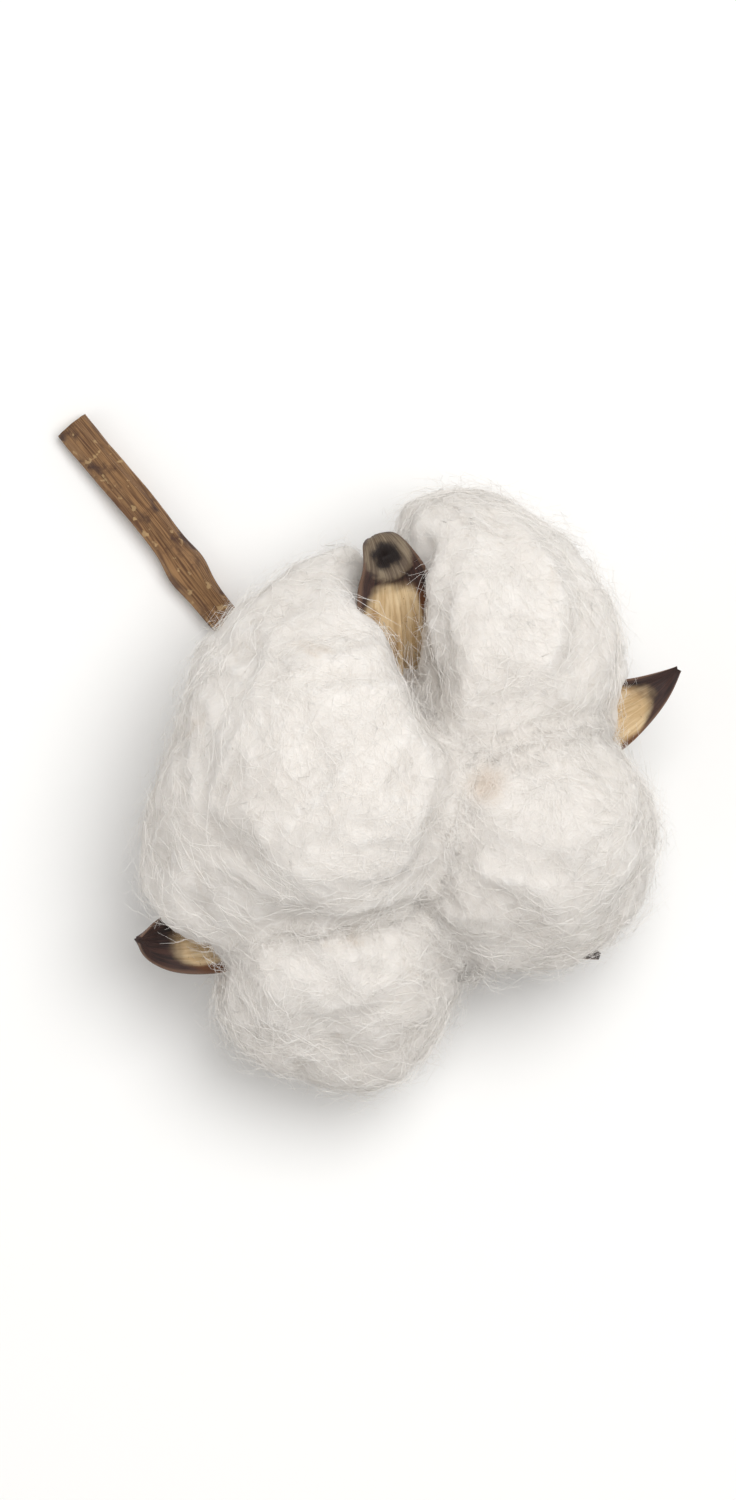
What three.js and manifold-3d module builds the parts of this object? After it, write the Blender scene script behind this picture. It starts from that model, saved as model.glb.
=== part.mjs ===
import * as THREE from "three";
import { mergeVertices } from "three/addons/utils/BufferGeometryUtils.js";
import Module from "manifold-3d";

// An open cotton boll, as picked: four puffs of lint, called locks, held by the dry bur with its
// four pointed arms, a papery calyx cup under the bur and a short cut piece of the boll's own stem.
// It lies mouth up on a table. Millimetres: x runs right and y up as seen from above, z is height.

const wasm = await Module();
wasm.setup();

// Where the bur grows out of the stem, and how far its axis leans to the right
const BUR_FOOT = new THREE.Vector3(-2, 1.5, 10);
const LEAN = THREE.MathUtils.degToRad(13);
const BOLL_FRAME = new THREE.Matrix4().makeRotationY(LEAN).setPosition(BUR_FOOT);

// Air between two pieces that touch on the real boll
const GAP = 0.35;

// Bur: a woody cup with four boat-shaped arms, each with a partition wall standing on its midline
const CUP_RADIUS = 9;
const CUP_HEIGHT = 5.2;
const CUP_SIDES = 22;
const ARM = {
  halfWidth: 5.8,
  thickness: 1.1,
  hollow: 2.8,
  rimRoll: 2.0,
  wave: 0.8,
  waves: 3.2,
  wall: 4.5,
  wallEnd: 0.7,
  stations: 15,
};
// Degrees round the boll's axis and up along it: each arm stands up out of the cup, spreads with
// one slope, changes it along its length to another and curls at its very tip; the lint leaves
// its inside bare from a part of its length on
const ARM_FOOT = { radius: 6.3, height: 2.4, rise: 86, part: 0.13 };
const ARMS = [
  { heading: 96, turn: 21, length: 36, rise: 54, tipRise: 26, curl: -125, blunt: 4.5, bareFrom: 0.33 },
  { heading: 13, turn: 30, length: 34, rise: 24, tipRise: 40, curl: -50, blunt: 3.6, bareFrom: 1.2 },
  { heading: -50, turn: 30, length: 29, rise: 7, tipRise: 24, curl: -10, blunt: 2.6, bareFrom: 1.2 },
  { heading: 229, turn: -68, length: 37, rise: -14, tipRise: 20, curl: 45, blunt: 4, bareFrom: 1.2 },
];

// Lint: each lock is a few soft lobes run together, given as x, y, z and radius
const LOBE_BLEND = 6;
const LOCKS = {
  lock_left: {
    centre: [-9, 3, 27],
    detail: 8,
    lobes: [
      [-8.5, 16.5, 24, 8.5],
      [-8, 1.5, 29.5, 17],
      [-12, 10, 25, 12.5],
      [-17, -4, 23, 12],
      [-5, 11, 29, 11.5],
      [-14, -8, 21, 9.5],
      [-21.5, -10, 20, 8.5],
    ],
  },
  lock_upper: {
    centre: [11, 15, 27],
    detail: 7,
    lobes: [
      [11, 18, 27.5, 13.8],
      [4.5, 20, 27, 11.5],
      [8, 9.5, 26, 9.5],
      [7, 24, 23, 11],
      [13, 14, 19, 13],
      [12, 18, 11, 12.5],
    ],
  },
  lock_right: {
    centre: [15, -4, 26],
    detail: 7,
    lobes: [
      [16.5, -4.5, 26.5, 13],
      [12, -11, 22, 9.5],
      [17, -11.5, 20, 8],
      [17, -6, 18, 12.5],
      [17, -6, 11, 12.2],
    ],
  },
  lock_lower: {
    centre: [-5, -17, 19],
    detail: 7,
    lobes: [
      [-5.5, -20, 19, 12],
      [-9.5, -20, 17, 12],
      [-13.5, -25, 15, 7],
      [-3.5, -29.5, 15, 6.3],
      [-5, -18, 11, 12],
    ],
  },
};
const LUMP_HEIGHT = 0.55;
const STEEPEST = 1.3;

// Behind each arm, and before its bare end, the lint draws back into a soft furrow
const FURROW = { depth: 8, halfWidth: 3.9, bareDepth: 8, bareHalfWidth: 3.2 };

// Calyx: a thin cup with a torn wavy rim and three dry bract remains at its foot
const CALYX = { radius: 9.9, height: 3.5, thickness: 0.8, lobes: 5, sides: 32 };
const BRACTS = [
  { heading: 20, length: 12, width: 4.2 },
  { heading: 150, length: 10, width: 5 },
  { heading: 262, length: 13, width: 3.8 },
];

// Stem: leaves the foot of the boll, turns over and lies along the table to a cut end
const STEM_RADIUS = 1.95;
const STEM_TOP_RADIUS = 4.6;
const STEM_SIDES = 14;
const STEM_RINGS = 24;
const STEM_PATH = [
  [-2.4, 1.5, 8.2],
  [-3.0, 1.6, 5.8],
  [-7, 5.6, 3.0],
  [-13, 11.8, 2.0],
  [-21, 20.5, 1.8],
  [-30, 32.5, 2.3],
  [-39.5, 44, 1.85],
];

function vec(list) {
  return new THREE.Vector3(list[0], list[1], list[2]);
}

// A closed body from rings with the same number of points, its two ends closed by a fan
function bodyFromRings(rings) {
  const count = rings[0].length;
  const points = rings.flat();
  const faces = [];
  for (let i = 0; i + 1 < rings.length; i += 1) {
    for (let j = 0; j < count; j += 1) {
      const a = i * count + j;
      const b = i * count + ((j + 1) % count);
      faces.push(a, b, b + count, a, b + count, a + count);
    }
  }
  const ends = [
    [0, true],
    [rings.length - 1, false],
  ];
  for (const [ring, first] of ends) {
    const middle = new THREE.Vector3();
    rings[ring].forEach((p) => middle.addScaledVector(p, 1 / count));
    const m = points.push(middle) - 1;
    for (let j = 0; j < count; j += 1) {
      const a = ring * count + j;
      const b = ring * count + ((j + 1) % count);
      faces.push(m, first ? b : a, first ? a : b);
    }
  }
  return { points, faces };
}

// The same body as a solid that can be joined to others, turned right side out if it needs it
function solid(body) {
  const faces = body.faces.slice();
  const volume = signedVolume(body.points, faces);
  if (volume < 0) {
    for (let i = 0; i < faces.length; i += 3) {
      [faces[i + 1], faces[i + 2]] = [faces[i + 2], faces[i + 1]];
    }
  }
  const vertProperties = new Float32Array(body.points.flatMap((p) => [p.x, p.y, p.z]));
  const triVerts = new Uint32Array(faces);
  return new wasm.Manifold(new wasm.Mesh({ numProp: 3, vertProperties, triVerts }));
}

function signedVolume(points, faces) {
  let volume = 0;
  const cross = new THREE.Vector3();
  for (let i = 0; i < faces.length; i += 3) {
    const [a, b, c] = [points[faces[i]], points[faces[i + 1]], points[faces[i + 2]]];
    volume += cross.crossVectors(b, c).dot(a) / 6;
  }
  return volume;
}

// The biggest piece of a solid: what fusing leaves loose or seals inside is dropped
function biggest(manifold) {
  return manifold.decompose().reduce((best, piece) => (piece.volume() > best.volume() ? piece : best));
}

function geometryOf(manifold) {
  const mesh = manifold.getMesh();
  const geometry = new THREE.BufferGeometry();
  const numbers = new Float32Array(mesh.numVert * 3);
  for (let i = 0; i < mesh.numVert; i += 1) {
    for (let k = 0; k < 3; k += 1) {
      numbers[i * 3 + k] = mesh.vertProperties[i * mesh.numProp + k];
    }
  }
  geometry.setAttribute("position", new THREE.BufferAttribute(numbers, 3));
  geometry.setIndex(new THREE.BufferAttribute(new Uint32Array(mesh.triVerts), 1));
  geometry.computeVertexNormals();
  return geometry;
}

function finish(name, manifold, colour) {
  const material = new THREE.MeshStandardMaterial({ color: colour, roughness: 0.85, metalness: 0 });
  const mesh = new THREE.Mesh(geometryOf(biggest(manifold)), material);
  mesh.name = name;
  return mesh;
}

// Points along the midline of an arm, each with the direction it runs in, its side and its inside
function armFrames(arm, count) {
  const frames = [];
  const steps = 8;
  const first = THREE.MathUtils.degToRad(arm.heading);
  const point = new THREE.Vector3(
    Math.cos(first) * ARM_FOOT.radius,
    Math.sin(first) * ARM_FOOT.radius,
    ARM_FOOT.height,
  );
  for (let i = 0; i <= count * steps; i += 1) {
    const t = i / (count * steps);
    const heading = THREE.MathUtils.degToRad(arm.heading + arm.turn * t * t);
    const rise = THREE.MathUtils.degToRad(armRise(arm, t));
    const run = new THREE.Vector3(
      Math.cos(rise) * Math.cos(heading),
      Math.cos(rise) * Math.sin(heading),
      Math.sin(rise),
    );
    if (i % steps === 0) {
      const side = new THREE.Vector3(-Math.sin(heading), Math.cos(heading), 0);
      const inside = new THREE.Vector3().crossVectors(run, side);
      frames.push({
        t,
        blunt: arm.blunt,
        point: point.clone().applyMatrix4(BOLL_FRAME),
        side: side.transformDirection(BOLL_FRAME),
        inside: inside.transformDirection(BOLL_FRAME),
      });
    }
    point.addScaledVector(run, arm.length / (count * steps));
  }
  return frames;
}

function armRise(arm, t) {
  const along = THREE.MathUtils.smoothstep(t, 0.2, 1);
  const atTip = THREE.MathUtils.smoothstep(t, 0.78, 1);
  const rise = arm.rise + (arm.tipRise - arm.rise) * along + arm.curl * atTip;
  const inCup = Math.max(0, 1 - t / ARM_FOOT.part);
  return rise + (ARM_FOOT.rise - rise) * inCup;
}

function armHalfWidth(frame, room) {
  const foot = 0.6 + 0.4 * Math.sin(Math.min(frame.t / 0.35, 1) * (Math.PI / 2));
  return ARM.halfWidth * foot * Math.pow(1 - frame.t ** frame.blunt, 1.15) + 0.45 + room;
}

// A point of the arm: s runs from rim to rim as -1 to 1, lift is its distance from the mid-surface
function armPoint(frame, s, lift, room) {
  const fade = Math.sin(Math.PI * Math.min(frame.t * 1.15, 1));
  const hollow = ARM.hollow * (1 - 0.75 * frame.t) * s * s;
  const roll = ARM.rimRoll * (0.4 + fade * 0.6) * (1 - frame.t) * Math.abs(s) ** 5;
  const wave = ARM.wave * fade * Math.abs(s) ** 3 * Math.sin(ARM.waves * 2 * Math.PI * frame.t + s * 1.7);
  return frame.point
    .clone()
    .addScaledVector(frame.side, armHalfWidth(frame, room) * s)
    .addScaledVector(frame.inside, hollow - roll + wave + lift);
}

function wallHeight(t) {
  return t < ARM.wallEnd ? ARM.wall * Math.pow(1 - t / ARM.wallEnd, 0.8) : 0;
}

// An arm as a closed body, or with room round it the space that the lint leaves for it
function armBody(arm, room) {
  const across = [-1, -0.72, -0.4, -0.1, 0.1, 0.4, 0.72, 1];
  const rings = armFrames(arm, ARM.stations).map((frame) => {
    const half = (ARM.thickness * (1 - 0.4 * frame.t)) / 2 + room;
    const outer = across.map((s) => armPoint(frame, s, -half, room));
    const inner = across.map((s) => armPoint(frame, s, half, room)).reverse();
    const top = half + wallHeight(frame.t) + 0.05;
    const wall = [0.07, -0.07].map((s) => armPoint(frame, s + Math.sign(s) * room * 0.16, top, room));
    const rims = [1.05, -1.05].map((s) => armPoint(frame, s, 0, room));
    return [...outer, rims[0], ...inner.slice(0, 4), ...wall, ...inner.slice(4), rims[1]];
  });
  if (room > 0) {
    const last = rings[rings.length - 1];
    const before = rings[rings.length - 2];
    rings.push(last.map((p, i) => p.clone().lerp(before[i], -0.2)));
  }
  return bodyFromRings(rings);
}

function ringAround(radius, height, sides, change) {
  return Array.from({ length: sides }, (_, i) => {
    const angle = (i / sides) * 2 * Math.PI;
    const more = change ? change(angle) : { out: 0, up: 0 };
    const r = radius + more.out;
    const p = new THREE.Vector3(r * Math.cos(angle), r * Math.sin(angle), height + more.up);
    return p.applyMatrix4(BOLL_FRAME);
  });
}

function makeBur() {
  const profile = [
    [1.5, 0],
    [4.5, 0.3],
    [7, 1.8],
    [CUP_RADIUS - 0.5, 3.6],
    [CUP_RADIUS, CUP_HEIGHT - 0.6],
    [CUP_RADIUS - 0.7, CUP_HEIGHT],
    [6, CUP_HEIGHT - 0.3],
    [1.5, CUP_HEIGHT - 1],
  ];
  const cup = bodyFromRings(profile.map(([r, h]) => ringAround(r, h, CUP_SIDES)));
  let bur = solid(cup);
  for (const arm of ARMS) {
    bur = bur.add(solid(armBody(arm, 0)));
  }
  return finish("bur", bur, 0x8a6446);
}

function makeCalyx() {
  const torn = (angle) => {
    const wave = Math.cos(CALYX.lobes * angle + 0.6);
    return { out: 0.4 * wave, up: 0.9 * wave + 0.4 * Math.sin(9 * angle) };
  };
  const half = (angle) => ({ out: torn(angle).out / 2, up: torn(angle).up / 2 });
  const { radius, height, thickness } = CALYX;
  const rings = [
    ringAround(1.5, -GAP - thickness, CALYX.sides),
    ringAround(4.8, -GAP - thickness + 0.2, CALYX.sides),
    ringAround(8, 0.9, CALYX.sides),
    ringAround(9.4, 2.4, CALYX.sides, half),
    ringAround(radius, height, CALYX.sides, torn),
    ringAround(radius - 0.7, height + 0.1, CALYX.sides, torn),
    ringAround(8.65, 2.6, CALYX.sides, half),
    ringAround(7.3, 1.4, CALYX.sides),
    ringAround(4.6, 0, CALYX.sides),
    ringAround(1.5, -GAP, CALYX.sides),
  ];
  let calyx = solid(bodyFromRings(rings));
  for (const bract of BRACTS) {
    calyx = calyx.add(solid(bractBody(bract, 0)));
  }
  return finish("calyx", calyx, 0x6b4b32);
}

// A dry bract remain: a crumpled pointed tongue that leaves the foot of the calyx and curls over
function bractBody(bract, room) {
  const heading = THREE.MathUtils.degToRad(bract.heading);
  const out = new THREE.Vector3(Math.cos(heading), Math.sin(heading), 0);
  const side = new THREE.Vector3(-Math.sin(heading), Math.cos(heading), 0);
  const up = new THREE.Vector3(0, 0, 1);
  const stations = 9;
  const rings = Array.from({ length: stations }, (_, i) => {
    const t = i / (stations - 1);
    const width = (bract.width / 2) * (0.75 + 0.25 * Math.sin(t * 7)) * (1 - t ** 2) + 0.4 + room;
    const middle = new THREE.Vector3()
      .addScaledVector(out, 3.4 + bract.length * t * 0.85)
      .addScaledVector(up, -0.78 + bract.length * (0.1 * t - 0.25 * t * t))
      .addScaledVector(side, 1.2 * Math.sin(t * 3 + bract.heading));
    const arch = 4 * t * (1 - t);
    const sway = 0.3 * t * Math.sin(t * 9);
    return [
      [-1, -0.5, 0],
      [0, -0.45, 0.35],
      [1, -0.5, 0],
      [1, 0.35, 0],
      [0, 0.4, 0.35],
      [-1, 0.35, 0],
    ].map(([s, thick, fold]) =>
      middle
        .clone()
        .addScaledVector(side, s * width)
        .addScaledVector(up, thick + Math.sign(thick) * room + fold * arch + sway * s)
        .applyMatrix4(BOLL_FRAME),
    );
  });
  return bodyFromRings(rings);
}

function makeStem() {
  return finish("stem", solid(stemBody(0)), 0x785a3a);
}

function stemBody(room) {
  const curve = new THREE.CatmullRomCurve3(STEM_PATH.map(vec), false, "centripetal");
  const frames = curve.computeFrenetFrames(STEM_RINGS, false);
  const rings = [];
  for (let i = 0; i <= STEM_RINGS; i += 1) {
    const t = i / STEM_RINGS;
    const middle = curve.getPointAt(t);
    const flare = (STEM_TOP_RADIUS - STEM_RADIUS) * Math.exp(-((t / 0.07) ** 1.4));
    const knot = 0.5 * Math.exp(-(((t - 0.62) / 0.04) ** 2));
    const ring = [];
    for (let j = 0; j < STEM_SIDES; j += 1) {
      const angle = (j / STEM_SIDES) * 2 * Math.PI;
      const ridge = 0.14 * Math.sin(4 * angle + 5 * t) + 0.1 * Math.sin(7 * angle + 20 * t);
      const radius = STEM_RADIUS + flare + knot + ridge + room;
      const p = middle
        .clone()
        .addScaledVector(frames.normals[i], radius * Math.cos(angle))
        .addScaledVector(frames.binormals[i], radius * Math.sin(angle));
      p.z = Math.max(p.z, 0);
      ring.push(p);
    }
    rings.push(ring);
  }
  return bodyFromRings(rings);
}

// The space that the lint leaves free: round the stem, the calyx with its bracts, the cup and arms
function roomForTheRest() {
  const foot = [
    [1.5, -2.4],
    [6.4, -2.2],
    [9.2, 0.2],
    [CALYX.radius + 0.9, 2.4],
    [CALYX.radius + 1.1, CUP_HEIGHT + 0.6],
    [1.5, CUP_HEIGHT + 0.6],
  ];
  let room = solid(bodyFromRings(foot.map(([r, h]) => ringAround(r, h, CUP_SIDES))));
  room = room.add(solid(stemBody(GAP)));
  for (const bract of BRACTS) {
    room = room.add(solid(bractBody(bract, GAP)));
  }
  for (const arm of ARMS) {
    room = room.add(solid(armBody(arm, GAP)));
  }
  return room;
}

// Lint

function blend(a, b) {
  const near = Math.max(LOBE_BLEND - Math.abs(a - b), 0) / LOBE_BLEND;
  return Math.min(a, b) - (near * near * LOBE_BLEND) / 4;
}

// How far a point is outside the soft lobes of a lock, with gentle lumps over them
function outsideLock(lock, p) {
  let distance = Infinity;
  for (const [x, y, z, r] of lock.lobes) {
    const d = Math.hypot(p.x - x, p.y - y, p.z - z) - r;
    distance = distance === Infinity ? d : blend(distance, d);
  }
  const lump =
    Math.sin(p.x * 0.52 + 1.4 * Math.sin(p.y * 0.3)) +
    Math.sin(p.y * 0.58 + 1.2 * Math.sin(p.z * 0.34)) +
    Math.sin(p.z * 0.55 + 1.3 * Math.sin(p.x * 0.36));
  return distance + (lump / 3) * LUMP_HEIGHT + furrow(p);
}

const armLines = ARMS.map((arm) => armFrames(arm, 16));

function furrow(p) {
  let deepest = 0;
  const apart = new THREE.Vector3();
  armLines.forEach((frames, index) => {
    let nearest = frames[0];
    for (const frame of frames) {
      if (p.distanceToSquared(frame.point) < p.distanceToSquared(nearest.point)) {
        nearest = frame;
      }
    }
    apart.subVectors(p, nearest.point);
    const across = apart.dot(nearest.side);
    const lift = apart.dot(nearest.inside);
    const behind = THREE.MathUtils.smoothstep(-lift, -1, 3) * FURROW.depth;
    const bareFrom = ARMS[index].bareFrom;
    const bare = THREE.MathUtils.smoothstep(nearest.t, bareFrom - 0.08, bareFrom + 0.12);
    const before = THREE.MathUtils.smoothstep(lift, -2, 1) * bare * FURROW.bareDepth;
    const deep =
      behind * Math.exp(-((across / FURROW.halfWidth) ** 2)) +
      before * Math.exp(-((across / FURROW.bareHalfWidth) ** 2));
    const fade = Math.exp(-((Math.max(apart.length() - 9, 0) / 5) ** 2));
    deepest = Math.max(deepest, deep * fade);
  });
  return deepest;
}

// A lock: from its centre it swells in each direction until it meets its own skin, another lock
// or the table, no slope of it is steeper than lint can stand, and the bur lies bedded in it
function makeLock(name, room) {
  const lock = LOCKS[name];
  const others = Object.keys(LOCKS)
    .filter((other) => other !== name)
    .map((other) => LOCKS[other]);
  const centre = vec(lock.centre);
  const isFree = (p) => {
    const own = outsideLock(lock, p);
    if (own > 0 || p.z < 0) {
      return false;
    }
    return others.every((other) => own + GAP * 1.2 < outsideLock(other, p));
  };
  const ball = mergeVertices(roundBall(lock.detail), 1e-4);
  const position = ball.getAttribute("position");
  const directions = Array.from({ length: position.count }, (_, i) =>
    new THREE.Vector3().fromBufferAttribute(position, i).normalize(),
  );
  const reach = directions.map((direction) => {
    const p = new THREE.Vector3();
    let far = 0;
    while (far < 40 && isFree(p.copy(centre).addScaledVector(direction, far + 0.4))) {
      far += 0.4;
    }
    let step = 0.2;
    while (step > 1e-4) {
      if (isFree(p.copy(centre).addScaledVector(direction, far + step))) {
        far += step;
      }
      step /= 2;
    }
    return far;
  });
  easeSlopes(reach, directions, ball.index.array);
  const points = directions.map((direction, i) => {
    const p = centre.clone().addScaledVector(direction, reach[i]);
    p.z = p.z < 0.002 ? 0 : p.z;
    return p;
  });
  const lint = solid({ points, faces: Array.from(ball.index.array) });
  return finish(name, lint.subtract(room), 0xe2dfda);
}

function roundBall(detail) {
  const ball = new THREE.IcosahedronGeometry(1, detail);
  ball.deleteAttribute("normal");
  ball.deleteAttribute("uv");
  return ball;
}

function easeSlopes(reach, directions, faces) {
  let changed = true;
  while (changed) {
    changed = false;
    for (let i = 0; i < faces.length; i += 3) {
      for (let k = 0; k < 3; k += 1) {
        const a = faces[i + k];
        const b = faces[i + ((k + 1) % 3)];
        const apart = directions[a].angleTo(directions[b]);
        const mostA = reach[b] * (1 + STEEPEST * apart);
        const mostB = reach[a] * (1 + STEEPEST * apart);
        if (reach[a] > mostA + 1e-3) {
          reach[a] = mostA;
          changed = true;
        } else if (reach[b] > mostB + 1e-3) {
          reach[b] = mostB;
          changed = true;
        }
      }
    }
  }
}

const boll = new THREE.Group();
boll.name = "cotton_boll";
const stem = makeStem();
const calyx = makeCalyx();
const bur = makeBur();
boll.add(stem, calyx, bur);
const room = roomForTheRest();
for (const name of Object.keys(LOCKS)) {
  boll.add(makeLock(name, room));
}

// The origin stands on the table under the middle of the part's outline
const middle = new THREE.Box3().setFromObject(boll).getCenter(new THREE.Vector3());
for (const mesh of boll.children) {
  mesh.geometry.translate(-middle.x, -middle.y, 0);
}

export default boll;
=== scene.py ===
import math

import bmesh
import bpy
import numpy as np
from mathutils import Matrix, Vector
from mathutils import noise as field
from mathutils.bvhtree import BVHTree


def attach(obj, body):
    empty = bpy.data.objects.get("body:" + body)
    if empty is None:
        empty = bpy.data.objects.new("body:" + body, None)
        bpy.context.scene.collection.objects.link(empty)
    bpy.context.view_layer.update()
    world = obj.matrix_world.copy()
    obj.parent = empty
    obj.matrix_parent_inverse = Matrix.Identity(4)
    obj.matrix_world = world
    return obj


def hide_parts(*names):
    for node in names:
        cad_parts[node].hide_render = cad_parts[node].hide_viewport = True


# %% [markdown]
# An open cotton boll, picked with a short piece of its stalk and laid mouth up on a table.
# Four puffs of lint, the locks, sit in the dry bur. The bur is a woody cup with four pointed
# arms. A papery calyx hugs its foot, and the stalk turns over under it and lies along the table.
# The solids of the frame give the form; each one is stood for here by a finer piece.

# %% Load the frame
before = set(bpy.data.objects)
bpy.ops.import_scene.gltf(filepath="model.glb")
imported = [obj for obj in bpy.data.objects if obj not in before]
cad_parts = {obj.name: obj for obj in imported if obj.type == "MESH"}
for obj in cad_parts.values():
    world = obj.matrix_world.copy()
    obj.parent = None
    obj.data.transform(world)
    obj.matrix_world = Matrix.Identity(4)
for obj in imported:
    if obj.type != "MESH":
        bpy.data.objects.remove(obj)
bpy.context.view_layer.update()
MM = 0.001

# %% [markdown]
# Small tools used all through. Colours are given as a camera would read them, because that is
# how one reads them off a real boll. A mesh is built from its points and faces, and a material
# is its Principled shader with a tree of nodes before it. Adding and joining nodes by two short
# helpers keeps the trees below readable as sentences.

# %% Tools: colours, meshes and materials
def colour(r, g, b):
    """A colour read off in 0 to 255 steps, as the linear numbers that shaders take."""
    def linear(v):
        v = v / 255
        return v / 12.92 if v <= 0.04045 else ((v + 0.055) / 1.055) ** 2.4
    return (linear(r), linear(g), linear(b), 1.0)


def mesh_object(name, points, faces):
    mesh = bpy.data.meshes.new(name)
    mesh.from_pydata([tuple(p) for p in points], [], [tuple(f) for f in faces])
    mesh.validate()
    mesh.update()
    obj = bpy.data.objects.new(name, mesh)
    bpy.context.scene.collection.objects.link(obj)
    return obj


def add(tree, kind, **settings):
    node = tree.nodes.new(kind)
    for key, value in settings.items():
        setattr(node, key, value)
    return node


def link(tree, source, target):
    tree.links.new(source, target)


def new_material(name, roughness):
    material = bpy.data.materials.new(name)
    material.use_nodes = True
    shader = material.node_tree.nodes["Principled BSDF"]
    shader.inputs["Roughness"].default_value = roughness
    return material, material.node_tree, shader


# %% [markdown]
# The picture looks straight into the boll's mouth from far off, so the camera looks down on it
# through a long lens. The boll lies on a plain pale table under a wide soft lamp that stands a
# little to the upper right.

# %% Camera, floor and light
scene = bpy.context.scene
VIEW_MIDDLE = Vector((0, 0, 22)) * MM
VIEW_WIDTH = 88 * MM
LENS = 600
SENSOR = 36
camera_data = bpy.data.cameras.new("camera")
camera_data.lens = LENS
camera_data.sensor_width = SENSOR
camera_data.sensor_fit = "HORIZONTAL"
camera = bpy.data.objects.new("camera", camera_data)
scene.collection.objects.link(camera)
camera_data.clip_end = 10
camera.location = VIEW_MIDDLE + Vector((0, 0, VIEW_WIDTH * LENS / SENSOR))
scene.camera = camera

FLOOR = 3
corners = [(-FLOOR, -FLOOR, 0), (FLOOR, -FLOOR, 0), (FLOOR, FLOOR, 0), (-FLOOR, FLOOR, 0)]
floor = mesh_object("floor", corners, [(0, 1, 2, 3)])
floor_paint, tree, shader = new_material("pale floor", 0.8)
shader.inputs["Base Color"].default_value = colour(246, 246, 245)
floor.data.materials.append(floor_paint)


def soft_lamp(name, place, size, power):
    data = bpy.data.lights.new(name, "AREA")
    data.shape = "DISK"
    data.size = size
    data.energy = power
    lamp = bpy.data.objects.new(name, data)
    scene.collection.objects.link(lamp)
    lamp.location = place
    lamp.rotation_euler = Vector(place).to_track_quat("Z", "Y").to_euler()


soft_lamp("main lamp", place=(0.18, 0.18, 0.80), size=0.55, power=5.1)
soft_lamp("fill lamp", place=(-0.55, -0.25, 0.55), size=0.6, power=0.65)
world = bpy.data.worlds.new("studio")
scene.world = world
world.use_nodes = True
sky = world.node_tree.nodes["Background"]
sky.inputs["Color"].default_value = (1.0, 0.975, 0.95, 1.0)
sky.inputs["Strength"].default_value = 0.45
scene.view_settings.view_transform = "Standard"
print("camera", round(camera.location.z * 1000), "mm over the table")

# %% [markdown]
# Dry plant skin has fine streaks along the way it grew. One group makes them for the bur, the
# calyx and the stalk: noise drawn out along the length, as a mask and as a height.

# %% Tools: short ways to add to a tree
def give(tree, socket, value):
    """Joins another node's output to the socket, or sets a plain value on it."""
    if hasattr(value, "links"):
        link(tree, value, socket)
    else:
        socket.default_value = value


def noise(tree, vector, scale, detail=3.0, roughness=0.5, distortion=0.0):
    """Soft random clouds: a value of about 0.3 to 0.7 that changes over the surface."""
    node = add(tree, "ShaderNodeTexNoise")
    node.inputs["Scale"].default_value = scale
    node.inputs["Detail"].default_value = detail
    node.inputs["Roughness"].default_value = roughness
    node.inputs["Distortion"].default_value = distortion
    link(tree, vector, node.inputs["Vector"])
    return node.outputs["Fac"]


def mix(tree, factor, a, b):
    """Colour a, turning to colour b as the factor goes from 0 to 1."""
    node = add(tree, "ShaderNodeMix", data_type="RGBA", blend_type="MIX")
    for socket, value in ((node.inputs[0], factor), (node.inputs[6], a), (node.inputs[7], b)):
        give(tree, socket, value)
    return node.outputs[2]


def maths(tree, operation, a, b=0.0):
    node = add(tree, "ShaderNodeMath", operation=operation)
    give(tree, node.inputs[0], a)
    give(tree, node.inputs[1], b)
    return node.outputs[0]


def ranged(tree, value, low, high, to_low=0.0, to_high=1.0):
    """A soft step between two numbers as the value goes from low to high."""
    node = add(tree, "ShaderNodeMapRange", interpolation_type="SMOOTHSTEP")
    link(tree, value, node.inputs["Value"])
    limits = {"From Min": low, "From Max": high, "To Min": to_low, "To Max": to_high}
    for key, number in limits.items():
        node.inputs[key].default_value = number
    return node.outputs["Result"]


def attribute(tree, name):
    return add(tree, "ShaderNodeAttribute", attribute_name=name).outputs["Fac"]


def bump(tree, height, strength, distance, before=None):
    node = add(tree, "ShaderNodeBump")
    node.inputs["Strength"].default_value = strength
    node.inputs["Distance"].default_value = distance
    link(tree, height, node.inputs["Height"])
    if before is not None:
        link(tree, before, node.inputs["Normal"])
    return node.outputs["Normal"]


print("tree helpers: give, noise, mix, maths, ranged, attribute, bump")

# %% Streaks shared by the woody pieces
streaks = bpy.data.node_groups.new("grown streaks", "ShaderNodeTree")
streaks.interface.new_socket("Along", in_out="INPUT", socket_type="NodeSocketFloat")
streaks.interface.new_socket("Across", in_out="INPUT", socket_type="NodeSocketFloat")
streaks.interface.new_socket("Fineness", in_out="INPUT", socket_type="NodeSocketFloat")
streaks.interface.new_socket("Mask", in_out="OUTPUT", socket_type="NodeSocketFloat")
streaks.interface.new_socket("Height", in_out="OUTPUT", socket_type="NodeSocketFloat")
inlet = add(streaks, "NodeGroupInput")
outlet = add(streaks, "NodeGroupOutput")
position = add(streaks, "ShaderNodeCombineXYZ")
link(streaks, inlet.outputs["Along"], position.inputs["X"])
link(streaks, maths(streaks, "MULTIPLY", inlet.outputs["Across"], inlet.outputs["Fineness"]),
     position.inputs["Y"])
broad = noise(streaks, position.outputs[0], 3.0, detail=4.0, distortion=0.3)
fine = noise(streaks, position.outputs[0], 9.0, detail=5.0, roughness=0.7)
link(streaks, ranged(streaks, broad, 0.38, 0.64), outlet.inputs["Mask"])
half_broad = maths(streaks, "MULTIPLY", broad, 0.5)
link(streaks, maths(streaks, "ADD", half_broad, fine), outlet.inputs["Height"])


def streaked(tree, along, across, fineness):
    node = add(tree, "ShaderNodeGroup", node_tree=streaks)
    link(tree, along, node.inputs["Along"])
    link(tree, across, node.inputs["Across"])
    node.inputs["Fineness"].default_value = fineness
    return node.outputs["Mask"], node.outputs["Height"]


print("streaks come from a group of", len(streaks.nodes), "nodes")

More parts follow.
